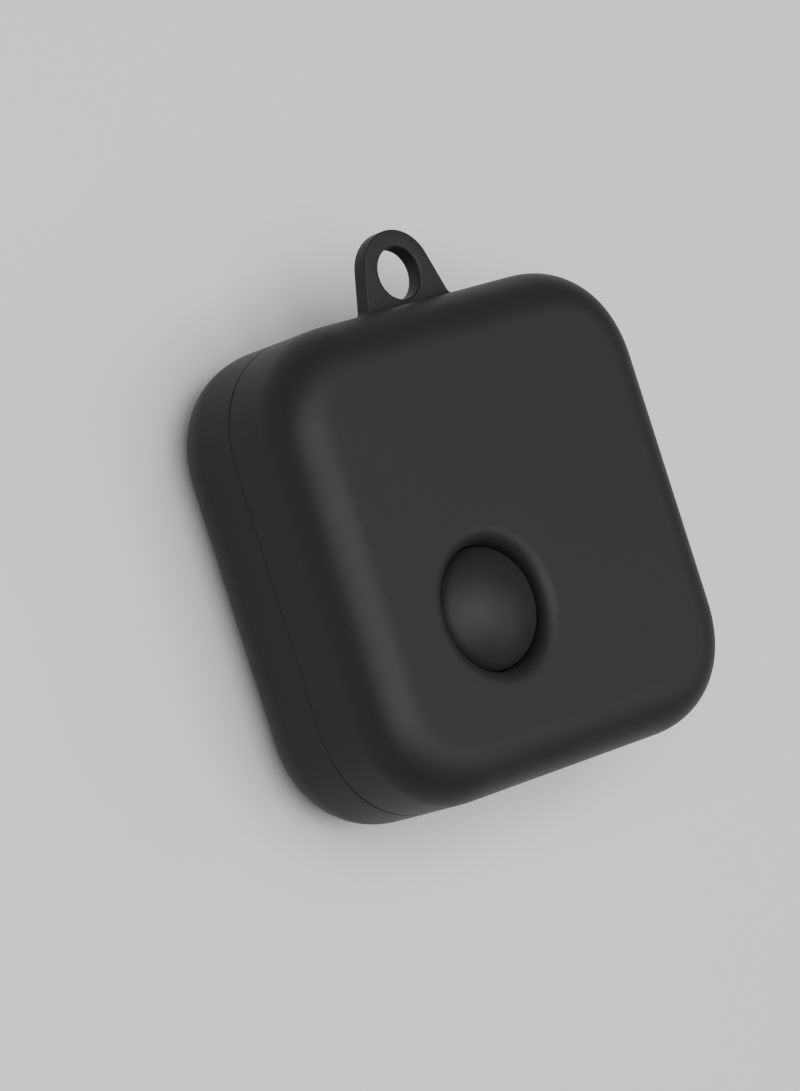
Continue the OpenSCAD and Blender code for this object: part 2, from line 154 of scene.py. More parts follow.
def rounded_corner(last, corner, following, radius, steps):
    """The arc that takes the place of one corner."""
    to_last = last - corner
    to_next = following - corner
    last_length = np.linalg.norm(to_last)
    next_length = np.linalg.norm(to_next)
    to_last /= last_length
    to_next /= next_length
    half_angle = math.acos(np.clip(to_last @ to_next, -1, 1)) / 2
    sweep = math.pi - 2 * half_angle
    if radius <= 0 or sweep < 0.01:
        return [corner]
    reach = min(radius / math.tan(half_angle), last_length, next_length)
    bisector = (to_last + to_next) / np.linalg.norm(to_last + to_next)
    centre = corner + bisector * reach / math.cos(half_angle)
    start = corner + reach * to_last - centre
    stop = corner + reach * to_next - centre
    share = np.linspace(0, 1, steps + 1)
    return [
        centre + (start * math.sin((1 - t) * sweep) + stop * math.sin(t * sweep)) / math.sin(sweep)
        for t in share
    ]


def rounded(corners, closed=True):
    """An outline whose corners are (x, y), or (x, y, radius), or (x, y, radius, steps)."""
    full = [(*corner, 0, 3)[:4] if len(corner) == 2 else (*corner, 3)[:4] for corner in corners]
    places = np.array([corner[:2] for corner in full], float)
    points = []
    for i, (_, _, radius, steps) in enumerate(full):
        if not closed and i in (0, len(full) - 1):
            points.append(places[i])
            continue
        following = places[(i + 1) % len(full)]
        points += rounded_corner(places[i - 1], places[i], following, radius, steps)
    kept = [points[0]]
    for point in points[1:]:
        if np.linalg.norm(point - kept[-1]) > MERGE:
            kept.append(point)
    return np.array(kept)


def rectangle(low, high, radius=0.0, steps=3):
    """The outline of a rectangle with rounded corners."""
    places = [(low[0], low[1]), (high[0], low[1]), (high[0], high[1]), (low[0], high[1])]
    return rounded([(*place, radius, steps) for place in places])


def circle(centre, radius, steps=32):
    return arc(centre, radius, 0, 360, steps)[:-1]


def ribbon(path, width):
    """The outline of a strip that follows a path."""
    path = np.array(path, float)
    along = np.diff(path, axis=0)
    along /= np.linalg.norm(along, axis=1)[:, None]
    across = np.stack([-along[:, 1], along[:, 0]], 1)
    before = np.vstack([across[:1], across])
    after = np.vstack([across, across[-1:]])
    mitre = (before + after) / (1 + (before * after).sum(1))[:, None]
    return np.vstack([path + mitre * width / 2, (path - mitre * width / 2)[::-1]])


# ---- meshes ----

def make_mesh(points, faces):
    """A closed mesh with doubled points joined and its normals pointing out."""
    bm = bmesh.new()
    verts = [bm.verts.new(point) for point in points]
    for face in faces:
        bm.faces.new([verts[i] for i in face])
    return clean(bm)


def clean(bm):
    """The mesh of a bmesh, without doubled points or loose edges."""
    bmesh.ops.remove_doubles(bm, verts=bm.verts, dist=MERGE)
    bmesh.ops.dissolve_degenerate(bm, edges=bm.edges, dist=MERGE / 10)
    loose = [edge for edge in bm.edges if not edge.link_faces]
    bmesh.ops.delete(bm, geom=loose, context="EDGES")
    bmesh.ops.recalc_face_normals(bm, faces=bm.faces)
    mesh = bpy.data.meshes.new("part")
    bm.to_mesh(mesh)
    bm.free()
    return mesh


def loft(rings, closed=True):
    """Points and quads of a skin over rings of equal length."""
    rows, columns = len(rings), len(rings[0])
    index = np.arange(rows * columns).reshape(rows, columns)
    following = np.roll(index, -1, 0)
    if not closed:
        index, following = index[:-1], following[:-1]
    quads = np.stack(
        [index, np.roll(index, -1, 1), np.roll(following, -1, 1), following], -1
    )
    return np.concatenate(rings), quads.reshape(-1, 4).tolist()


def level(points, z):
    """Plan points at a height."""
    return np.c_[points, np.full(len(points), z)]


def between(first, last, steps):
    """Rings that turn one ring into another, both left out."""
    return [first + (last - first) * i / steps for i in range(1, steps)]


def lathe(section, centre=(0, 0), columns=96):
    """A solid turned round an upright axis, from the (radius, height) corners of its section."""
    rings = [level(circle(centre, radius, columns), z) for radius, z in rounded(section)]
    return make_mesh(*loft(rings))


def slab(outline, low, high, edge=0.05, holes=(), steps=2):
    """A plate between two heights with rounded edges, from its outline and its holes."""
    curve = bpy.data.curves.new("outline", "CURVE")
    curve.dimensions = "2D"
    curve.fill_mode = "BOTH"
    curve.extrude = (high - low) / 2 - edge
    curve.bevel_depth = edge
    curve.bevel_resolution = steps - 1
    curve.offset = -edge
    for loop in (outline, *holes):
        spline = curve.splines.new("POLY")
        spline.points.add(len(loop) - 1)
        flat = np.c_[loop, np.zeros(len(loop)), np.ones(len(loop))]
        spline.points.foreach_set("co", flat.ravel())
        spline.use_cyclic_u = True
    holder = bpy.data.objects.new("outline", curve)
    filled = bpy.data.meshes.new_from_object(holder)
    bpy.data.objects.remove(holder)
    bm = bmesh.new()
    bm.from_mesh(filled)
    bmesh.ops.translate(bm, vec=(0, 0, (low + high) / 2), verts=bm.verts)
    bpy.data.meshes.remove(filled)
    return clean(bm)


def brick(low, high, corner=0.1, edge=0.05):
    """A block with rounded corners and edges."""
    return slab(rectangle(low, high, corner), low[2], high[2], edge)


def upright(outline, low_y, high_y):
    """A strip whose outline is seen from the side, in X and Z."""
    mesh = slab(outline, -high_y, -low_y, 0.03)
    mesh.transform(Matrix.Rotation(math.pi / 2, 4, "X"))
    return mesh


def moved(mesh, place):
    """A copy of a mesh, moved."""
    copy = mesh.copy()
    copy.transform(Matrix.Translation((*place, 0)[:3]))
    return copy


def link(name, data):
    """A new object in the scene."""
    made = bpy.data.objects.new(name, data)
    bpy.context.scene.collection.objects.link(made)
    return made


def boolean(mesh, tools, operation):
    """A mesh joined with or cut by other closed meshes."""
    base = link("base", mesh)
    holders = [link("tool", tool) for tool in tools]
    for holder in holders:
        modifier = base.modifiers.new("boolean", "BOOLEAN")
        modifier.operation = operation
        modifier.solver = "MANIFOLD"
        modifier.object = holder
    graph = bpy.context.evaluated_depsgraph_get()
    result = bpy.data.meshes.new_from_object(base.evaluated_get(graph))
    for holder in (base, *holders):
        bpy.data.objects.remove(holder)
    bm = bmesh.new()
    bm.from_mesh(result)
    bpy.data.meshes.remove(result)
    return clean(bm)


def union(mesh, *tools):
    return boolean(mesh, tools, "UNION")


def cut(mesh, *tools):
    return boolean(mesh, tools, "DIFFERENCE")


def mark_wear(bm):
    """Stores how sharp each outer edge is, for the materials' edge wear."""
    layer = bm.verts.layers.float.new("wear")
    for vert in bm.verts:
        sharpest = max((edge.calc_face_angle_signed(0) for edge in vert.link_edges), default=0)
        vert[layer] = min(1, max(0, sharpest) / WEAR_ANGLE)


def add_piece(name, node, *parts):
    """One piece, from (mesh, material) parts, that takes the place and body of a CAD node."""
    joined = bpy.data.meshes.new(name)
    bm = bmesh.new()
    for mesh, material in parts:
        if material.name not in joined.materials:
            joined.materials.append(material)
        index = list(joined.materials).index(material)
        first = len(bm.faces)
        bm.from_mesh(mesh)
        bm.faces.ensure_lookup_table()
        for face in bm.faces[first:]:
            face.material_index = index
            face.smooth = True
    bmesh.ops.scale(bm, vec=(MM, MM, MM), verts=bm.verts)
    mark_wear(bm)
    bm.to_mesh(joined)
    bm.free()
    joined.set_sharp_from_angle(angle=SHARP_ANGLE)
    piece = link(name, joined)
    normals = piece.modifiers.new("even_normals", "WEIGHTED_NORMAL")
    normals.keep_sharp = True
    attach(piece, BODY_OF[node])
    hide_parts(node)
    return piece


# ---- materials ----

def add_node(tree, kind, inputs=None, **settings):
    """A shader node whose inputs are numbers, colours or other nodes' outputs."""
    made = tree.nodes.new("ShaderNode" + kind)
    for key, value in settings.items():
        setattr(made, key, value)
    for key, value in (inputs or {}).items():
        if isinstance(value, bpy.types.NodeSocket):
            tree.links.new(value, made.inputs[key])
        else:
            made.inputs[key].default_value = value
    return made


def texture(kind, output, inputs, stretch=(1, 1, 1), **settings):
    """A function that adds a texture, in the object's own coordinates, to a node tree."""
    def add(tree):
        coords = add_node(tree, "TexCoord").outputs["Object"]
        mapped = add_node(tree, "Mapping", {"Vector": coords, "Scale": stretch}).outputs["Vector"]
        return add_node(tree, kind, {"Vector": mapped, **inputs}, **settings).outputs[output]
    return add


def fine(size, detail=3.0, stretch=(1, 1, 1)):
    """Noise with features of a size in millimetres."""
    return texture("TexNoise", "Fac", {"Scale": 1 / (size * MM), "Detail": detail}, stretch)


def turned(pitch):
    """Fine rings round the upright axis, as a lathe leaves them."""
    inputs = {"Scale": 0.314 / (pitch * MM), "Distortion": 1.2, "Detail": 2.0, "Detail Scale": 0.6}
    return texture("TexWave", "Fac", inputs, wave_type="RINGS", rings_direction="Z")


def cellular(size):
    """Rounded cells of a size in millimetres."""
    return texture("TexVoronoi", "Distance", {"Scale": 1 / (size * MM)})


def spread_over(tree, value, low, high):
    """A noise value spread over a range."""
    inputs = {"Value": value, "From Min": 0.3, "From Max": 0.7, "To Min": low, "To Max": high}
    return add_node(tree, "MapRange", inputs).outputs["Result"]


def mix_colour(tree, factor, first, second):
    inputs = {0: factor, 6: first, 7: second}
    return add_node(tree, "Mix", inputs, data_type="RGBA").outputs[2]


def maths(tree, operation, first, second):
    return add_node(tree, "Math", {0: first, 1: second}, operation=operation).outputs[0]


def wear_fac(tree, amount):
    """Edge wear, broken up by noise."""
    sharp = add_node(tree, "Attribute", attribute_name="wear").outputs["Fac"]
    patches = spread_over(tree, fine(0.7, 4)(tree), 0.25, 1)
    return maths(tree, "MULTIPLY", maths(tree, "MULTIPLY", sharp, patches), amount)


def shade(colour, share):
    """A colour made lighter or darker."""
    return (*(min(1, channel * share) for channel in colour), 1)


def surface(name, colour, roughness, grain, height, metallic=0.0, tint=0.1, spread=0.06,
            patch=4.0, worn=1.35, wear=0.5, **sockets):
    """A material with a fine grain, soft patches of colour and gloss, and worn edges.

    height is the depth of the grain in millimetres. tint and spread are how far colour and
    roughness vary over patches of a size in millimetres, worn is how much lighter the edges
    are, and wear is how much of them shows it.
    """
    material = bpy.data.materials.new(name)
    material.use_nodes = True
    tree = material.node_tree
    shader = tree.nodes["Principled BSDF"].inputs
    shader["Metallic"].default_value = metallic
    for socket, value in sockets.items():
        shader[socket.replace("_", " ")].default_value = value
    patches = fine(patch, 4)(tree)
    edges = wear_fac(tree, wear)
    blend = spread_over(tree, patches, 0, 1)
    base = mix_colour(tree, blend, shade(colour, 1 - tint), shade(colour, 1 + tint))
    gloss = spread_over(tree, patches, roughness - spread, roughness + spread)
    polish = maths(tree, "MULTIPLY", edges, -spread)
    bump = add_node(tree, "Bump", {"Height": grain(tree), "Distance": height * MM})
    tree.links.new(mix_colour(tree, edges, base, shade(colour, worn)), shader["Base Color"])
    tree.links.new(maths(tree, "ADD", gloss, polish), shader["Roughness"])
    tree.links.new(bump.outputs["Normal"], shader["Normal"])
    return material


def soft_touch(name, colour, roughness):
    """A rubbery coat: a very fine grain, a faint sheen and edges rubbed a little smoother."""
    return surface(
        name, colour, roughness, fine(0.11, 2), 0.004, tint=0.04, spread=0.03,
        patch=6, worn=1.3, wear=0.35, Specular_IOR_Level=0.18, Sheen_Weight=0.01,
        Sheen_Roughness=0.5,
    )


def metal(name, colour, roughness, grain, height=0.002):
    return surface(name, colour, roughness, grain, height, 1.0, tint=0.06, spread=0.05, worn=1.15)


SHELL = soft_touch("soft_touch_shell", (0.0125, 0.0125, 0.013), 0.52)
BUTTON = soft_touch("soft_touch_button", (0.0125, 0.0125, 0.013), 0.5)
SILICONE = surface("silicone", (0.22, 0.24, 0.25), 0.55, fine(0.2), 0.003)
# Near-black silicone for the button seal: this colour paints shade into the gap round the dome, where a
# lighter seal showed through
GAP_SHADE_SILICONE = surface("gap_shade_silicone", (0.014, 0.014, 0.015), 0.6, fine(0.2), 0.003)
FOAM = surface("foam", (0.03, 0.03, 0.032), 0.9, cellular(0.16), 0.06, tint=0.3)
CAN_STEEL = metal("can_steel", (0.62, 0.63, 0.65), 0.3, turned(0.12))
CAP_STEEL = metal("cap_steel", (0.66, 0.66, 0.67), 0.24, turned(0.08))
POLYMER = surface("grommet_polymer", (0.05, 0.16, 0.34), 0.4, fine(0.15), 0.002)
ELECTRODE = surface("pressed_powder", (0.02, 0.02, 0.02), 0.85, fine(0.1, 5), 0.02)
MASK = surface(
    "solder_mask", (0.012, 0.085, 0.05), 0.32, fine(0.3, 2), 0.004, tint=0.14,
    Coat_Weight=0.3, Coat_Roughness=0.15,
)
TRACK = surface("masked_track", (0.03, 0.15, 0.07), 0.3, fine(0.15), 0.002, worn=1.1)
TIN = metal("tinned_pad", (0.72, 0.72, 0.73), 0.28, fine(0.1), 0.004)
COVER = surface("spark_eroded_plastic", (0.025, 0.026, 0.028), 0.62, fine(0.09, 4), 0.008)
ZINC = metal("zinc_plate", (0.48, 0.48, 0.5), 0.34, fine(0.08), 0.003)
EPOXY = surface("moulded_epoxy", (0.02, 0.02, 0.021), 0.58, fine(0.05, 4), 0.003)
LID = metal("satin_lid", (0.66, 0.66, 0.66), 0.36, fine(0.06, 3, (1, 8, 1)), 0.002)
CERAMIC = surface("ceramic_base", (0.52, 0.47, 0.38), 0.6, fine(0.06), 0.003)
FERRITE = surface("ferrite", (0.06, 0.06, 0.062), 0.55, fine(0.07, 5), 0.006, tint=0.3)
WIRE = metal("winding_wire", (0.72, 0.36, 0.17), 0.3, fine(0.1), 0.001)
TAN = surface("capacitor_ceramic", (0.45, 0.29, 0.15), 0.5, fine(0.06), 0.003)
GLAZE = surface("resistor_glaze", (0.03, 0.03, 0.035), 0.25, fine(0.1), 0.002)
ALUMINA = surface("resistor_ceramic", (0.75, 0.74, 0.7), 0.6, fine(0.06), 0.003)
COPPER = metal("antenna_copper", (0.72, 0.42, 0.2), 0.32, fine(0.08), 0.003)
BRONZE = metal("gold_flash", (0.8, 0.62, 0.3), 0.26, fine(0.05, 3, (6, 1, 1)), 0.002)
SPRING = metal("spring_steel", (0.7, 0.7, 0.7), 0.26, fine(0.05, 3, (6, 1, 1)), 0.002)
BRASS = metal("rolled_brass", (0.75, 0.55, 0.22), 0.3, fine(0.06, 3, (1, 12, 1)), 0.002)
SILVER = metal("fired_silver", (0.7, 0.69, 0.66), 0.45, fine(0.05, 4), 0.004)
TAPE = surface("tissue_tape", (0.75, 0.75, 0.73), 0.7, fine(0.15, 4, (1, 5, 1)), 0.01)
NYLON = surface("glass_filled_nylon", (0.03, 0.03, 0.032), 0.5, fine(0.08, 4), 0.004)
PLUNGER = surface("moulded_nylon", (0.02, 0.02, 0.02), 0.42, fine(0.1), 0.002)


# ---- the two shells ----

SIDE_STEPS = 8                    # quads along half of a straight side
CORNER_STEPS = 32                 # quads round a corner
QUARTER = 2 * SIDE_STEPS + CORNER_STEPS
COLUMNS = 4 * QUARTER


def body_outline():
    """Points and normals of the body seen from the front, from the middle of the right side."""
    core = HALF - CORNER_R
    angle = np.linspace(0, math.pi / 2, CORNER_STEPS + 1)
    cosine = np.clip(np.cos(angle), 0, 1)
    sine = np.clip(np.sin(angle), 0, 1)
    reach = 2 / CORNER_POWER
    corner = core + CORNER_R * np.stack([cosine**reach, sine**reach], 1)
    lean = np.stack([cosine**(2 - reach), sine**(2 - reach)], 1)
    lean /= np.linalg.norm(lean, axis=1)[:, None]
    up = np.linspace(0, core, SIDE_STEPS, endpoint=False)
    right = np.stack([np.full(SIDE_STEPS, HALF), up], 1)
    top = right[:0:-1, ::-1]
    points = np.concatenate([right, corner, top])
    sideways = np.tile((1.0, 0.0), (len(right), 1))
    upwards = np.tile((0.0, 1.0), (len(top), 1))
    normals = np.concatenate([sideways, lean, upwards])
    return [np.concatenate([rows @ turn.T for turn in QUARTER_TURNS]) for rows in (points, normals)]


OUTLINE, NORMALS = body_outline()


def body_ring(inset, z):
    """The body's outline, moved in from the side, at a height."""
    return level(OUTLINE - inset * NORMALS, z)


def body_rings(section):
    return [body_ring(inset, z) for inset, z in section]


def button_rings(section):
    return [level(circle(BUTTON_AT, radius, COLUMNS), z) for radius, z in section]


def flat_patch(ring):
    """Points and quads that fill a ring of the body's outline with a square grid."""
    around = np.roll(ring, -QUARTER // 2, axis=0)
    around = np.vstack([around, around[:1]])
    north = around[:QUARTER + 1][::-1]
    west = around[QUARTER:2 * QUARTER + 1][::-1]
    south = around[2 * QUARTER:3 * QUARTER + 1]
    east = around[3 * QUARTER:]
    share = np.linspace(0, 1, QUARTER + 1)
    u = share[None, :, None]
    v = share[:, None, None]
    sides = (1 - v) * south[None] + v * north[None] + (1 - u) * west[:, None] + u * east[:, None]
    corners = ((1 - u) * (1 - v) * south[0] + u * (1 - v) * south[-1]
               + (1 - u) * v * north[0] + u * v * north[-1])
    index = np.arange((QUARTER + 1) ** 2).reshape(QUARTER + 1, QUARTER + 1)
    quads = np.stack([index[:-1, :-1], index[:-1, 1:], index[1:, 1:], index[1:, :-1]], -1)
    return (sides - corners).reshape(-1, 3), quads.reshape(-1, 4)


def front_skin():
    """The front shell's walls, face and button recess as one closed skin."""
    wall_section = rounded([
        (FRONT_FILLET, TOP_Z),
        (0, TOP_Z, FRONT_FILLET, 18),
        (0, SEAM_Z, SEAM_ROUND, 4),
        (TONGUE_INSET, SEAM_Z, 0.05, 2),
        (TONGUE_INSET, TONGUE_Z, 0.12, 3),
        (WALL, TONGUE_Z, 0.12, 3),
        (WALL, TOP_Z - WALL, FRONT_FILLET - WALL, 10),
        (FRONT_FILLET, TOP_Z - WALL),
    ], closed=False)
    recess_section = rounded([
        (GUIDE_R, TOP_Z - WALL),
        (GUIDE_R, SEAT_Z - GUIDE_DEPTH, 0.12, 3),
        (GUIDE_BORE_R, SEAT_Z - GUIDE_DEPTH, 0.2, 3),
        (GUIDE_BORE_R, SEAT_Z, 0.06, 2),
        (RECESS_R, SEAT_Z, 0.06, 2),
        (RECESS_R, TOP_Z, LIP_R, 14),
        (RECESS_R + LIP_R, TOP_Z),
    ], closed=False)
    walls = body_rings(wall_section)
    recess = button_rings(recess_section)
    ceiling = between(walls[-1], recess[0], 6)
    face = between(recess[-1], walls[0], 10)
    return make_mesh(*loft(walls + ceiling + recess + face))


LUG_FOOT = 4.65                   # half-width of the lug where it meets the body
LUG_BLEND = 0.7
LUG_SINK = 1.0                    # how far the lug reaches into the wall
BLEND_SINK = 0.01                 # how far its blends end below the wall's surface


def lug_half_outline(rise, lug_r):
    """Right half of the lug's outline, from its foot's middle to its top, above the body."""
    lean = math.acos(lug_r / math.hypot(LUG_FOOT, rise)) - math.atan2(rise, LUG_FOOT)
    out = np.array([math.cos(lean), math.sin(lean)])
    blend_x = LUG_FOOT + LUG_BLEND * (1 - out[1]) / out[0]
    centre = (blend_x, LUG_BLEND - BLEND_SINK)
    degrees = math.degrees(lean)
    foot = [(x, -LUG_SINK) for x in np.linspace(0, blend_x, 9)]
    blend = arc(centre, LUG_BLEND, 270, 180 + degrees, 8)
    end = arc((0, rise), lug_r, degrees, 90, 28)
    side = [blend[-1] + (end[0] - blend[-1]) * i / 4 for i in range(1, 4)]
    return np.vstack([foot, blend, side, end])


def lug():
    """A flat eye with its hole, its edges rounded and more so at the back."""
    hole_x, hole_y, hole_z = np.array(LUG_HOLE["pos_m"]) / MM
    hole_r = LUG_HOLE["dims"]["r_mm"]
    thickness = LUG_HOLE["dims"]["length_mm"]
    low, high = hole_z - thickness / 2, hole_z + thickness / 2
    lug_r = box("front_shell")[1][1] - hole_y
    right = lug_half_outline(hole_y - HALF, lug_r)
    left = right[-2:0:-1] * (-1, 1)
    outline = np.vstack([right, left]) + (hole_x, HALF)
    along = np.roll(outline, -1, 0) - np.roll(outline, 1, 0)
    along /= np.linalg.norm(along, axis=1)[:, None]
    outward = np.stack([along[:, 1], -along[:, 0]], 1)
    spoke = outline - (hole_x, hole_y)
    turn = np.unwrap(np.arctan2(spoke[:, 1], spoke[:, 0]))
    even_turn = turn[0] + TURN * np.arange(len(turn)) / len(turn)
    turn = (turn + even_turn) / 2
    spoke = np.stack([np.cos(turn), np.sin(turn)], 1)
    rim = rounded([(0.5, low), (0, low, 0.5, 6), (0, high, 0.12, 4), (0.12, high)], closed=False)
    bore = rounded(
        [(hole_r + 0.2, high), (hole_r, high, 0.2, 4), (hole_r, low, 0.3, 4), (hole_r + 0.3, low)],
        closed=False,
    )
    rings = [level(outline - inset * outward, z) for inset, z in rim]
    rings += [level((hole_x, hole_y) + radius * spoke, z) for radius, z in bore]
    return make_mesh(*loft(rings))


def screw_post(place):
    """A round post with the pilot hole that a board screw cuts its thread in."""
    pilot_r, post_r = 0.75, 2.0
    end = box("board_screws")[1][2] + 0.2
    return lathe([
        (0, end), (pilot_r, end), (pilot_r, BOARD_TOP, 0.15), (post_r, BOARD_TOP, 0.15),
        (post_r, TOP_Z - WALL + 0.2), (0, TOP_Z - WALL + 0.2),
    ], place, 40)


def sounder_ring():
    """The ring inside the front face that the sounder is taped to."""
    low_z = box("buzzer_tape")[1][2]
    outer_r = round_size("buzzer_plate")[0] + 0.1
    inner_r = outer_r - 1
    top = TOP_Z - WALL + 0.2
    section = [(inner_r, top), (inner_r, low_z, 0.1), (outer_r, low_z, 0.1), (outer_r, top)]
    return lathe(section, BUZZER_AT)


def pry_slot():
    """The slot for a coin, half of it in each shell."""
    depth, width, height = 0.7, 7.0, 1.0
    low = (HALF - depth, -width / 2, SEAM_Z - height / 2)
    high = (HALF + depth, width / 2, SEAM_Z + height / 2)
    return brick(low, high, corner=0.35, edge=0.2)


def front_shell():
    added = [lug(), sounder_ring()] + [screw_post(place) for place in SCREWS]
    mesh = cut(union(front_skin(), *added), pry_slot())
    add_piece("front_shell_skin", "front_shell", (mesh, SHELL))


def rear_skin():
    """The rear shell's walls, rim, back and floor as one closed skin."""
    section = rounded([
        (BACK_FILLET, 0),
        (0, 0, BACK_FILLET, 20),
        (0, SEAM_Z, SEAM_ROUND, 4),
        (SKIRT_T, SEAM_Z, 0.08, 2),
        (SKIRT_T, LEDGE_Z, 0.06, 2),
        (WALL, LEDGE_Z, 0.08, 2),
        (WALL, WALL, BACK_FILLET - WALL, 12),
        (BACK_FILLET, WALL),
    ], closed=False)
    rings = body_rings(section)
    points, quads = loft(rings, closed=False)
    for ring in (rings[0], rings[-1]):
        patch_points, patch_quads = flat_patch(ring)
        quads += (patch_quads + len(points)).tolist()
        points = np.vstack([points, patch_points])
    return make_mesh(points, quads)


def cell_rib(turn):
    """A curved rib that keeps the coin cell in place."""
    inner_r = round_size("cell_can")[0] + 0.2
    outer_r = inner_r + 1
    span = 22
    outline = np.vstack([
        arc((0, 0), outer_r, turn - span, turn + span, 20),
        arc((0, 0), inner_r, turn + span, turn - span, 20),
    ])
    return slab(outline, WALL - 0.4, LEDGE_Z, edge=0.15, steps=3)


def rear_shell():
    ribs = [cell_rib(turn) for turn in (45, 135, 225, 315)]
    mesh = cut(union(rear_skin(), *ribs), pry_slot())
    add_piece("rear_shell_skin", "rear_shell", (mesh, SHELL))


def seam_gasket():
    """A soft ring under the tongue, rounded on top where the tongue presses it."""
    low, high = box("seam_gasket")
    outer = HALF - high[0]
    inner = WALL - 0.08
    section = rounded([
        (outer, low[2], 0.1), (outer, high[2], 0.2, 4), (inner, high[2], 0.2, 4), (inner, low[2], 0.1),
    ])
    mesh = make_mesh(*loft(body_rings(section)))
    add_piece("seam_gasket_ring", "seam_gasket", (mesh, SILICONE))


def cell_cushion():
    """A ring of closed-cell foam with a slightly uneven surface."""
    low, high = box("cell_cushion")
    outer_r, inner_r, edge, steps = high[0], 3.0, 0.15, 10
    top = np.linspace(outer_r - edge, inner_r + edge, steps + 1)[1:-1]
    mesh = lathe([
        (inner_r, low[2], 0.05), (outer_r, low[2], 0.05), (outer_r, high[2], edge),
        *((radius, high[2]) for radius in top), (inner_r, high[2], edge),
    ], columns=128)
    for vert in mesh.vertices:
        if vert.co.z > low[2] + 0.1:
            vert.co.z -= 0.03 * (1 + noise.noise(vert.co * 1.5))
    piece = add_piece("foam_ring", "cell_cushion", (mesh, FOAM))


# ---- coin cell ----

def plus_mark(centre_z):
    """The raised plus sign on the cell's positive side."""
    arm, width, rise = 2.2, 0.7, 0.06
    quarter = np.array([(arm, -width), (arm, width), (width, width)])
    corners = np.concatenate([quarter @ turn.T for turn in QUARTER_TURNS])
    return slab(rounded([(x, y, 0.2) for x, y in corners]), centre_z - rise, centre_z + rise, 0.04)


def cell_can():
    """A drawn steel cup with its rim crimped inwards."""
    outer_r, low, high = round_size("cell_can")
    wall, crimp_r = 0.3, 11.05
    sunk = low + 0.1
    crimp_low = high - 0.28
    mesh = lathe([
        (0, sunk),
        (outer_r - 2.6, sunk, 0.3),
        (outer_r - 2.3, low, 0.3),
        (outer_r, low, 0.8, 8),
        (outer_r, high, 0.3, 5),
        (crimp_r, high, 0.1),
        (crimp_r, crimp_low, 0.1),
        (outer_r - wall, crimp_low, 0.05),
        (outer_r - wall, sunk + wall, 0.5, 5),
        (0, sunk + wall),
    ], columns=160)
    add_piece("cell_can_cup", "cell_can", (union(mesh, plus_mark(low + 0.11)), CAN_STEEL))


def cell_cap():
    """The cell's negative cap, with a shallow turned step near its edge."""
    low, high = box("cell_cap")
    cap_r, wall, base, top = high[0], 0.3, low[2], high[2]
    mesh = lathe([
        (0, top),
        (cap_r - 1.7, top, 0.1),
        (cap_r - 1.55, top - 0.06, 0.05),
        (cap_r - 1.35, top - 0.06, 0.05),
        (cap_r - 1.2, top, 0.1),
        (cap_r, top, 0.45, 6),
        (cap_r, base, 0.1),
        (cap_r - wall, base, 0.1),
        (cap_r - wall, top - wall, 0.15),
        (0, top - wall),
    ], columns=160)
    add_piece("cell_cap_plate", "cell_cap", (mesh, CAP_STEEL))


def cell_grommet():
    """The polymer ring between can and cap, which bulges up where the crimp squeezes it."""
    low, high = box("cell_grommet")
    inner_r = box("cell_cap")[1][0] + 0.05
    neck_r, neck_z = 11.0, high[2] - 0.33
    mesh = lathe([
        (inner_r, low[2], 0.08), (high[0], low[2], 0.08), (high[0], neck_z, 0.08),
        (neck_r, neck_z, 0.03), (neck_r, high[2], 0.25, 5), (inner_r, high[2], 0.2, 5),
    ], columns=128)
    add_piece("cell_grommet_ring", "cell_grommet", (mesh, POLYMER))


def cell_core():
    """The pressed electrodes: a wide cathode and a narrower anode with the separator between."""
    low, high = box("cell_core")
    core_r, anode_r, split = high[0], high[0] - 0.5, low[2] + 3.6
    mesh = lathe([
        (0, low[2]), (core_r, low[2], 0.25), (core_r, split, 0.15), (core_r - 0.3, split + 0.05),
        (core_r - 0.05, split + 0.15), (core_r - 0.05, split + 0.3), (anode_r, split + 0.4),
        (anode_r, high[2], 0.25), (0, high[2]),
    ])
    add_piece("cell_electrodes", "cell_core", (mesh, ELECTRODE))


# ---- board, cover and screws ----

SCREW_HOLE_R = 0.95


def board_cover():
    """A black plate with a window, two slots and pockets over the contacts' feet."""
    low, high = box("board_cover")
    window, slot_half, pocket_half = (6.5, 3.5), 1.8, 2.0
    cell_r = round_size("cell_can")[0]
    slot = np.array((cell_r - 0.15, cell_r + 1.55))
    pocket = np.array((cell_r + 0.05, cell_r + 4.2))
    pocket_low = solids("positive_contacts")[-1][1][2] - 0.25
    holes = [circle(place, SCREW_HOLE_R) for place in SCREWS]
    holes.append(rectangle((-window[0], -window[1]), window, 0.5))
    pockets = []
    for side in (1, -1):
        slot_x, pocket_x = sorted(side * slot), sorted(side * pocket)
        holes.append(rectangle((slot_x[0], -slot_half), (slot_x[1], slot_half), 0.3))
        pockets.append(brick((pocket_x[0], -pocket_half, pocket_low),
                             (pocket_x[1], pocket_half, high[2] + 1), 0.2, 0.02))
    plate = slab(rectangle(low, high, 5.4, 12), low[2], high[2], 0.1, holes, 3)
    add_piece("board_cover_plate", "board_cover", (cut(plate, *pockets), COVER))


FILM = 0.03                       # thickness of copper and solder on the board
FILM_SINK = 0.01                  # how far they reach into the board


def ring_pad(centre, outer_r, inner_r, low, high, columns=24):
    section = [(inner_r, low), (outer_r - 0.01, low), (outer_r, low + 0.01),
               (outer_r, high - 0.01), (outer_r - 0.01, high), (inner_r, high)]
    return lathe(section, centre, columns)


def track(points):
    """A copper track under the solder mask."""
    width, edge = 0.25, 0.008
    return slab(ribbon(points, width), BOARD_TOP - FILM_SINK, BOARD_TOP + FILM, edge, steps=1)


def bus(start, step, bend, end, count):
    """Parallel tracks that leave a chip, bend at 45 degrees and run on."""
    tracks = []
    for i in range(count):
        first = np.array(start) + i * np.array(step)
        turn = first + np.array(bend[0])
        second = turn + np.array(bend[1])
        tracks.append(track([first, turn, second, second + np.array(end)]))
    return tracks


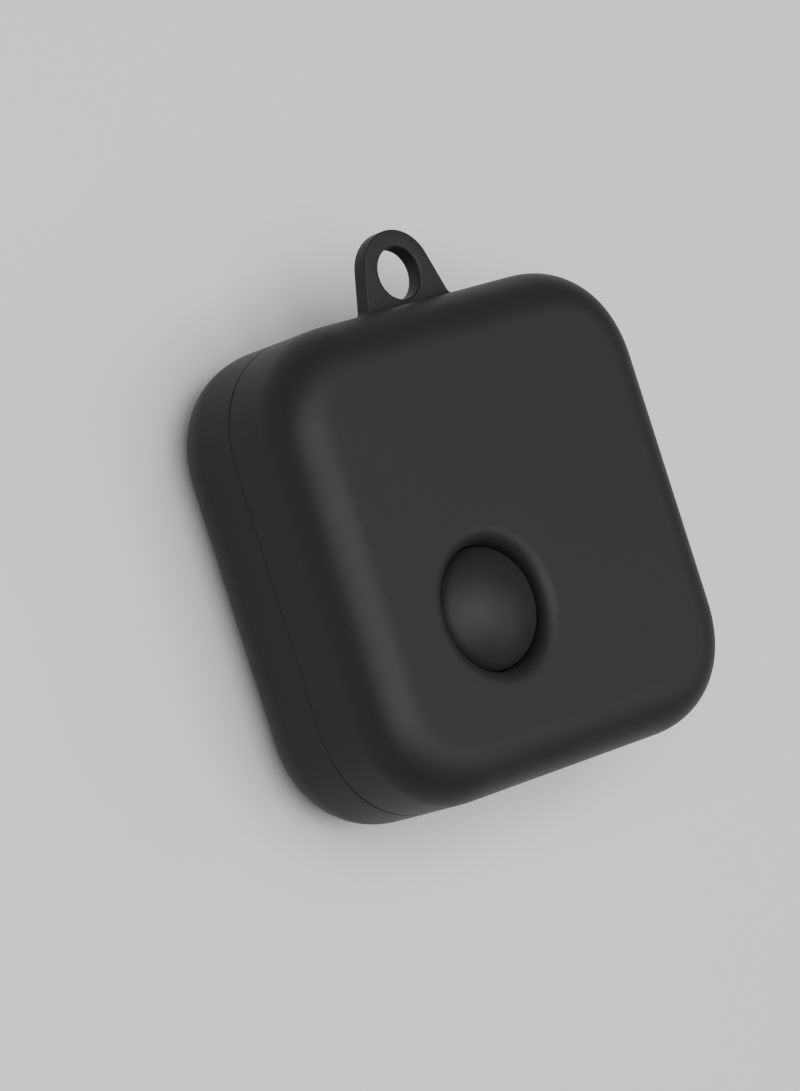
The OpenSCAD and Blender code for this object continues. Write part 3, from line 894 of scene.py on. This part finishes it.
def board_tracks():
    """Groups of tracks between the chips, and from them to the contacts and the sounder."""
    radio = middle("radio_chip")
    driver = middle("driver_chip")
    sensor = middle("motion_sensor")
    groups = bus(radio + (-2.1, 3), (0.45, 0), [(0, 0.4), (-1, 1)], (0, 1.2), 4)
    groups += bus(radio + (3, -2.2), (0, 0.45), [(0.6, 0), (0.8, -0.8)], (0.7, 0), 4)
    groups += bus(radio + (-3, -2.2), (0, 0.45), [(-0.8, 0), (-1, -1)], (-1.2, 0), 5)
    groups += bus(driver + (-1, -1.5), (0.5, 0), [(0, -0.4), (0.3, -0.3)], (0, -0.4), 5)
    groups += bus(driver + (1.5, 0.9), (0, 0.4), [(0.4, 0), (0.4, 0.4)], (3.5, 0), 2)
    groups += bus(sensor + (1, -0.75), (0, 0.5), [(1, 0), (0.8, -0.8)], (3, 0), 4)
    return groups


def vias():
    """Plated holes in a row along the board's edge, clear of the antenna and the screws."""
    edge = HALF - box("main_board")[1][0]
    made = []
    for x, y in body_ring(edge + 1.0, 0)[::6, :2]:
        near_antenna = y < -14 and -3 < x < 11
        near_screw = min(np.hypot(*(place - (x, y))) for place in SCREWS) <= 2.1
        if not near_antenna and not near_screw:
            made.append(ring_pad((x, y), 0.3, 0.14, BOARD_TOP - FILM_SINK, BOARD_TOP + FILM, 16))
    return made


def solder_pads():
    """Tinned pads under the ends of the small parts, and round the screw holes."""
    pads = []
    side_margin, end_margin = 0.08, 0.2
    for node in ("ceramic_capacitors", "chip_resistors", "drive_coil", "main_crystal", "clock_crystal"):
        for corners in solids(node):
            axis, ends = end_boxes(*corners, 0.28)
            for end, (low, high) in enumerate(ends):
                pad_low, pad_high = low - side_margin, high + side_margin
                pad_low[axis] = low[axis] - (end_margin if end == 0 else 0)
                pad_high[axis] = high[axis] + (end_margin if end == 1 else 0)
                pad_low[2], pad_high[2] = BOARD_TOP - FILM_SINK, BOARD_TOP + FILM
                pads.append(brick(pad_low, pad_high, 0.06, 0.008))
    low_z = box("main_board")[0][2]
    for place in SCREWS:
        pads.append(ring_pad(place, 1.7, SCREW_HOLE_R, BOARD_TOP - FILM_SINK, BOARD_TOP + FILM, 40))
        pads.append(ring_pad(place, 1.7, SCREW_HOLE_R, low_z, low_z + 0.02, 40))
    return pads


def main_board():
    low, high = box("main_board")
    holes = [circle(place, SCREW_HOLE_R) for place in SCREWS]
    plate = slab(rectangle(low, high, 6.2, 16), low[2], high[2], 0.04, holes)
    tracks = [(mesh, TRACK) for mesh in board_tracks()]
    tinned = [(mesh, TIN) for mesh in vias() + solder_pads()]
    add_piece("main_board_panel", "main_board", (plate, MASK), *tracks, *tinned)


def screw_thread(low_z, high_z):
    """A threaded shaft with a pointed end, as one closed skin."""
    root_r, crest_r, pitch, columns = 0.62, 0.8, 0.5, 24
    rows_per_turn = 8
    rows = int((high_z - low_z) / pitch * rows_per_turn) + 1
    height = np.linspace(low_z, high_z, rows)
    angle = np.arange(columns) * TURN / columns
    rings = []
    for z in height:
        phase = (z / pitch - angle / TURN) % 1
        ridge = np.clip(1.6 - 4 * np.abs(phase - 0.5), 0, 1)
        radius = root_r + (crest_r - root_r) * ridge
        taper = min(1, (high_z - z) / 0.8 + 0.2)
        radius = radius * taper
        rings.append(np.stack([radius * np.cos(angle), radius * np.sin(angle), np.full(columns, z)], 1))
    ends = [np.tile((0, 0, low_z), (columns, 1)), np.tile((0, 0, high_z), (columns, 1))]
    return make_mesh(*loft([ends[0], *rings, ends[1]]))


def screw():
    """A pan head with a cross recess on a threaded shaft, on the centre line."""
    low, high = solids("board_screws")[0]
    head_r = (high[0] - low[0]) / 2
    head_top = low[2] + 0.8
    head = lathe([
        (0, low[2]), (head_r, low[2], 0.35, 5), (head_r, head_top, 0.06), (0, head_top),
    ], columns=48)
    recess = [
        brick((-x, -y, low[2] - 1), (x, y, low[2] + 0.45), 0.1, 0.03)
        for x, y in ((0.85, 0.21), (0.21, 0.85))
    ]
    return [cut(head, union(*recess)), screw_thread(head_top - 0.02, high[2])]


def board_screws():
    made = screw()
    parts = [(moved(mesh, place), ZINC) for place in SCREWS for mesh in made]
    add_piece("board_screw_set", "board_screws", *parts)


# ---- parts on the board ----

def chip(name, node, pins):
    """A moulded package with a pin-one dimple and tinned lands along its four sides."""
    low, high = box(node)
    size = high - low
    centre = (low + high) / 2
    package = brick(low + 0.02, high - (0.02, 0.02, 0), 0.08, 0.05)
    dimple_at = (low[0] + 0.1 * size[0] + 0.25, high[1] - 0.1 * size[1] - 0.25)
    dimple_z = high[2] - 0.05
    dimple = lathe([(0, dimple_z), (0.22, dimple_z, 0.03), (0.25, high[2] + 1), (0, high[2] + 1)],
                   dimple_at, 32)
    parts = [(cut(package, dimple), EPOXY)]
    pitch = size[0] * 0.8 / pins
    reach, land_half = size[0] / 2, pitch * 0.28
    for side in range(4):
        turn = Matrix.Translation((*centre[:2], 0)) @ Matrix.Rotation(side * math.pi / 2, 4, "Z")
        for i in range(pins):
            y = (i - (pins - 1) / 2) * pitch
            land = brick((reach - 0.3, y - land_half, low[2]), (reach, y + land_half, low[2] + 0.2),
                         0.03, 0.02)
            land.transform(turn)
            parts.append((land, TIN))
    add_piece(name, node, *parts)


def crystal(name, node):
    """A ceramic base with a seam-welded metal lid."""
    low, high = box(node)

    def layer(inset, bottom, top, corner, edge):
        return brick((*(low[:2] + inset), bottom), (*(high[:2] - inset), top), corner, edge)

    base = layer(0, low[2], low[2] + 0.25, 0.12, 0.03)
    rim = layer(0.1, low[2] + 0.25, low[2] + 0.3, 0.15, 0.02)
    lid = layer(0.18, low[2] + 0.29, high[2], 0.25, 0.08)
    add_piece(name, node, (base, CERAMIC), (rim, LID), (lid, LID))


def end_boxes(low, high, share):
    """The long axis of a small part, and the boxes of its two ends."""
    axis = int(high[1] - low[1] > high[0] - low[0])
    length = (high - low)[axis] * share
    first_high, second_low = high.copy(), low.copy()
    first_high[axis] = low[axis] + length
    second_low[axis] = high[axis] - length
    return axis, [(low, first_high), (second_low, high)]


def end_caps(low, high, share=0.22):
    """The two tinned ends of a small part, and the span between them."""
    axis, ends = end_boxes(low, high, share)
    overlap = (high - low)[axis] * share * 0.8
    span_low, span_high = low.copy(), high.copy()
    span_low[axis] += overlap
    span_high[axis] -= overlap
    span_low[1 - axis] += 0.04
    span_high[1 - axis] -= 0.04
    span_high[2] -= 0.04
    return [(brick(*end, 0.07, 0.05), TIN) for end in ends], span_low, span_high


def ceramic_capacitors():
    parts = []
    for corners in solids("ceramic_capacitors"):
        caps, span_low, span_high = end_caps(*corners)
        parts += [*caps, (brick(span_low, span_high, 0.05, 0.04), TAN)]
    add_piece("capacitor_set", "ceramic_capacitors", *parts)


def chip_resistors():
    parts = []
    for corners in solids("chip_resistors"):
        caps, span_low, span_high = end_caps(*corners)
        split = span_high[2] - 0.06
        body = brick(span_low, (*span_high[:2], split), 0.03, 0.02)
        glaze = brick((*span_low[:2], split), span_high, 0.03, 0.02)
        parts += [*caps, (body, ALUMINA), (glaze, GLAZE)]
    add_piece("resistor_set", "chip_resistors", *parts)


def drive_coil():
    """A drum core between two ferrite plates, wound with turns of wire side by side."""
    low, high = box("drive_coil")
    centre = middle("drive_coil")
    plate_t = 0.4
    plates = [
        brick(low, (high[0], high[1], low[2] + plate_t), 0.5, 0.08),
        brick((low[0], low[1], high[2] - plate_t), high, 0.5, 0.08),
    ]
    turns = 6
    wound_low, wound_high = low[2] + plate_t, high[2] - plate_t
    wire_r = (wound_high - wound_low) / turns / 2
    drum_r, wound_r = 0.6, (high[0] - low[0]) / 2 - 0.25
    section = [(drum_r, wound_high), (drum_r, wound_low)]
    for i in range(turns):
        mid = wound_low + (2 * i + 1) * wire_r
        section += arc((wound_r - wire_r, mid), wire_r, -80, 80, 6).tolist()
    winding = lathe(section, centre, 64)
    parts = [(plate, FERRITE) for plate in plates] + [(winding, WIRE)]
    add_piece("power_inductor", "drive_coil", *parts)


def antenna_trace():
    """A copper meander along the board's edge."""
    low, high = box("antenna_trace")
    width, fingers = 0.6, 6
    pitch = (high[0] - low[0] - width) / fingers
    bottom, top = low[1] + width / 2, high[1] - width / 2
    path = [(low[0] + width / 2, low[1])]
    for i in range(fingers):
        x = low[0] + width / 2 + i * pitch
        y = top if i % 2 == 0 else bottom
        path += [(x, y), (x + pitch, y)]
    path.append((high[0] - width / 2, high[1]))
    mesh = slab(ribbon(path, width), low[2], high[2], 0.015)
    add_piece("antenna_meander", "antenna_trace", (mesh, COPPER))


# ---- contacts ----

def negative_contact():
    """A slotted leaf that slopes down from the board to a rounded tip on the cell's cap."""
    low, high = box("negative_contact")
    thickness, tip_r = 0.2, 0.4
    tip_x, tip_z = high[0] - tip_r, low[2] + tip_r
    path = [(low[0], high[2] - 0.1), (low[0] + 3, high[2] - 0.1), (tip_x - 0.3, tip_z + 0.1)]
    path += arc((tip_x, tip_z), tip_r - 0.1, 180, 360, 10).tolist()
    path.append((high[0] - 0.1, tip_z + 0.1))
    leaf = upright(ribbon(path, thickness * 0.98), low[1], high[1])
    slot = brick((low[0] + 4, -0.2, low[2] - 1), (high[0] + 1, 0.2, high[2] + 1), 0.1, 0.02)
    parts = [(cut(leaf, slot), BRONZE)]
    add_piece("negative_leaf", "negative_contact", *parts)


def positive_contacts():
    """Two clips that hang from the board and bow in towards the side of the cell."""
    parts = []
    for low, high in solids("positive_contacts"):
        side = 1 if low[0] > 0 else -1
        inner, outer = sorted((abs(low[0]), abs(high[0])))
        leg_x = inner + 0.8
        bow_z = low[2] + 2
        path = rounded([
            (outer, high[2] - 0.1), (leg_x, high[2] - 0.1, 0.15), (leg_x, bow_z + 1.6, 0.8),
            (inner + 0.1, bow_z, 0.7, 5), (leg_x, low[2]),
        ], closed=False)
        clip = upright(ribbon(path, 0.18), low[1], high[1])
        if side < 0:
            clip.transform(Matrix.Rotation(math.pi, 4, "Z"))
        parts.append((clip, BRONZE))
    add_piece("positive_clips", "positive_contacts", *parts)


# ---- sounder ----

def buzzer_plate():
    radius, low, high = round_size("buzzer_plate")
    edge = 0.06
    section = [(0, low), (radius, low, edge), (radius, high, edge), (0, high)]
    add_piece("sounder_plate", "buzzer_plate", (lathe(section, BUZZER_AT, 128), BRASS))


def buzzer_ceramic():
    """A ceramic disc with a silver electrode that stops short of its edge."""
    radius, low, high = round_size("buzzer_ceramic")
    film, margin = 0.03, 0.4
    split = low + film
    body = lathe([
        (0, split), (radius, split, 0.04), (radius, high, 0.02), (0, high),
    ], BUZZER_AT, 128)
    electrode = lathe([
        (0, low), (radius - margin, low, 0.02), (radius - margin, split + 0.01), (0, split + 0.01),
    ], BUZZER_AT, 128)
    add_piece("sounder_ceramic", "buzzer_ceramic", (body, CERAMIC), (electrode, SILVER))


def buzzer_tape():
    outer_r, low, high = round_size("buzzer_tape")
    width = 0.9
    section = rectangle((outer_r - width, low), (outer_r, high), 0.03)
    add_piece("sounder_tape", "buzzer_tape", (lathe(section, BUZZER_AT, 128), TAPE))


def buzzer_contacts():
    """Two C-shaped springs that stand on the board under the sounder."""
    parts = []
    for low, high in solids("buzzer_contacts"):
        thickness = 0.15
        bend_r = (high[2] - low[2]) / 2
        mid_z = (high[2] + low[2]) / 2
        bend_x = low[0] + bend_r
        path = [(high[0], low[2] + thickness / 2)]
        path += arc((bend_x, mid_z), bend_r - thickness / 2, 270, 90, 20).tolist()
        path.append((high[0], high[2] - thickness / 2))
        parts.append((upright(ribbon(path, thickness), low[1], high[1]), SPRING))
    add_piece("sounder_springs", "buzzer_contacts", *parts)


# ---- switch and button ----

def switch_base():
    """A moulded body with a round well and four formed pins."""
    low, high = box("switch_base")
    half, well_r, floor_t = 3.0, 2.6, 0.12
    reach = (high[0] - low[0]) / 2
    body = brick((*(BUTTON_AT - half), low[2]), (*(BUTTON_AT + half), high[2]), 0.3, 0.05)
    well = lathe([
        (0, low[2] + floor_t), (well_r, low[2] + floor_t), (well_r, high[2] + 1), (0, high[2] + 1),
    ], BUTTON_AT, 64)
    parts = [(cut(body, well), NYLON)]
    for side_x in (-1, 1):
        for side_y in (-1, 1):
            ends = sorted((side_x * (half - 0.1), side_x * reach))
            pin = brick((ends[0], 2 * side_y - 0.5, low[2]), (ends[1], 2 * side_y + 0.5, low[2] + 0.2),
                        0.15, 0.05)
            parts.append((moved(pin, BUTTON_AT), TIN))
    add_piece("switch_body", "switch_base", *parts)


def switch_cover():
    low, high = box("switch_cover")
    hole = circle(BUTTON_AT, 1.85, 48)
    mesh = slab(rectangle(low, high, 0.5, 5), low[2], high[2], 0.02, [hole])
    add_piece("switch_plate", "switch_cover", (mesh, SPRING))


def snap_dome():
    """The thin domed disc that clicks."""
    radius, low, high = round_size("snap_dome")
    rise = high - low
    sphere_r = (radius**2 + rise**2) / (2 * rise)
    centre_z = high - sphere_r
    span = math.degrees(math.asin(radius / sphere_r))
    outside = arc((0, centre_z), sphere_r, 90 - span, 90, 14)
    inside = arc((0, centre_z), sphere_r - 0.08, 90, 90 - span, 14)
    inside[:, 1] = np.maximum(inside[:, 1], low)
    section = np.vstack([outside, inside])
    section[:, 0] = np.maximum(section[:, 0], 0)
    mesh = lathe(section, BUTTON_AT)
    add_piece("click_dome", "snap_dome", (mesh, SPRING))


def switch_plunger():
    collar_r, low, high = round_size("switch_plunger")
    stem_r, dish_r, dish_z = collar_r - 0.4, 0.5, high - 0.05
    collar_top = box("switch_base")[1][2] - 0.03
    mesh = lathe([
        (0, low), (collar_r, low, 0.04), (collar_r, collar_top, 0.03), (stem_r, collar_top, 0.02),
        (stem_r, high, 0.2, 5), (dish_r + 0.1, high, 0.05), (dish_r, dish_z, 0.03), (0, dish_z),
    ], BUTTON_AT, 64)
    add_piece("plunger_post", "switch_plunger", (mesh, PLUNGER))


DOME_R = 7.5                      # curvature of the dome's middle
DOME_EDGE_R = 5.15
DOME_TURN = (0.6, 0.8)            # slope at which the dome turns into its shoulder
DOME_T = 1.2


def dome_line(top_z, inset, first_r):
    """The dome's outline from a radius out to its side, moved in from its surface."""
    centre = np.array([0, top_z - DOME_R])
    shoulder_r = (DOME_EDGE_R - DOME_R * DOME_TURN[0]) / (1 - DOME_TURN[0])
    shoulder = centre + (DOME_R - shoulder_r) * np.array(DOME_TURN)
    first = math.degrees(math.acos(first_r / (DOME_R - inset)))
    turn = math.degrees(math.asin(DOME_TURN[1]))
    wide = arc(centre, DOME_R - inset, first, turn, 24)
    tight = arc(shoulder, shoulder_r - inset, turn, 0, 20)
    return np.vstack([wide, tight[1:]])


def button_cap():
    """A domed cap with a flange that holds it under the shell and a stem on the switch."""
    flange_r, flange_low, top = round_size("button_cap")
    flange_high = box("button_seal")[0][2]
    stem_r = 1.2
    stem_z = box("switch_plunger")[1][2] + 0.02
    outside = dome_line(top, 0, 0)
    outside[0, 0] = 0
    inside = dome_line(top, DOME_T, stem_r)[::-1]
    flange = rounded([
        outside[-1], (DOME_EDGE_R, flange_high, 0.05), (flange_r, flange_high, 0.08),
        (flange_r, flange_low, 0.1), (DOME_EDGE_R - DOME_T, flange_low, 0.08), inside[0],
    ], closed=False)
    stem = rounded([inside[-1], (stem_r, stem_z, 0.12), (0, stem_z)], closed=False)
    section = np.vstack([outside, flange[1:-1], inside, stem[1:]])
    add_piece("button_dome", "button_cap", (lathe(section, BUTTON_AT, 160), BUTTON))


def button_seal():
    outer_r, low, high = round_size("button_seal")
    inner_r = DOME_EDGE_R + 0.05
    mesh = lathe([
        (inner_r, low, 0.06), (outer_r, low, 0.06), (outer_r, high, 0.1), (inner_r, high, 0.1),
    ], BUTTON_AT, 128)
    # The seal's near-black colour paints shade into the gap round the dome
    add_piece("button_seal_ring", "button_seal", (mesh, GAP_SHADE_SILICONE))


# ---- floor, lights and camera ----

CAMERA_AZIMUTH = -89.54
CAMERA_ELEVATION = 48.79
CAMERA_ROLL = 72.04
CAMERA_DISTANCE = 409.71
CAMERA_LENS = 165.73
CAMERA_AIM = (-5.878, -1.794, -0.05)     # from the centre of the CAD box


def direction(azimuth, elevation):
    """The way from the object to the azimuth and elevation."""
    turn, rise = math.radians(azimuth), math.radians(elevation)
    return Vector((math.sin(turn) * math.cos(rise), -math.cos(turn) * math.cos(rise), math.sin(rise)))


def add_camera():
    centre = (CAD_BOX[0] + CAD_BOX[1]) / 2
    aim = centre + Vector(CAMERA_AIM) * MM
    back = direction(CAMERA_AZIMUTH, CAMERA_ELEVATION)
    camera = link("camera", bpy.data.cameras.new("camera"))
    camera.data.lens = CAMERA_LENS
    camera.location = aim + back * CAMERA_DISTANCE * MM
    upright_look = (-back).to_track_quat("-Z", "Y")
    camera.rotation_mode = "QUATERNION"
    camera.rotation_quaternion = upright_look @ Quaternion((0, 0, 1), math.radians(CAMERA_ROLL))
    bpy.context.scene.camera = camera


def add_light(name, azimuth, elevation, distance, size, power):
    """A soft rectangular light that points at the object."""
    light = bpy.data.lights.new(name, "AREA")
    light.shape = "RECTANGLE"
    light.size, light.size_y = size
    light.energy = power
    holder = link(name, light)
    away = direction(azimuth, elevation)
    holder.location = away * distance
    holder.rotation_mode = "QUATERNION"
    holder.rotation_quaternion = (-away).to_track_quat("-Z", "Y")


def add_world(strength):
    world = bpy.data.worlds.new("studio")
    world.use_nodes = True
    background = world.node_tree.nodes["Background"]
    background.inputs["Color"].default_value = (0.93, 0.95, 1.0, 1)
    background.inputs["Strength"].default_value = strength
    bpy.context.scene.world = world


def add_floor():
    """A wide pale floor that the tag lies on."""
    reach = 3.0
    corners = [(-reach, -reach, 0), (reach, -reach, 0), (reach, reach, 0), (-reach, reach, 0)]
    mesh = bpy.data.meshes.new("floor")
    mesh.from_pydata(corners, [], [(0, 1, 2, 3)])
    paper = surface(
        "floor_paper", (0.56, 0.57, 0.58), 0.8, fine(0.6), 0.01, tint=0.01, spread=0.02, patch=60
    )
    mesh.materials.append(paper)
    link("floor", mesh)


def studio():
    """A faint even glow, a large light overhead and a small one on the far side."""
    add_world(0.07)
    add_light("overhead", -90, 77, 0.6, (0.55, 0.85), 8.2)
    add_light("far_side", 64, 44, 0.7, (0.6, 0.3), 1.4)
    add_floor()


def build():
    """Makes every piece, from the back of the tag to its front."""
    for make in (rear_shell, seam_gasket, cell_cushion, cell_can, cell_cap, cell_grommet, cell_core,
                 front_shell, board_cover, main_board, board_screws):
        make()
    chip("radio_package", "radio_chip", 10)
    crystal("main_crystal_can", "main_crystal")
    crystal("clock_crystal_can", "clock_crystal")
    chip("motion_package", "motion_sensor", 3)
    chip("driver_package", "driver_chip", 5)
    for make in (drive_coil, ceramic_capacitors, chip_resistors, antenna_trace, negative_contact,
                 positive_contacts, buzzer_plate, buzzer_ceramic, buzzer_tape, buzzer_contacts,
                 switch_base, switch_cover, snap_dome, switch_plunger, button_cap, button_seal):
        make()


add_camera()
build()
studio()
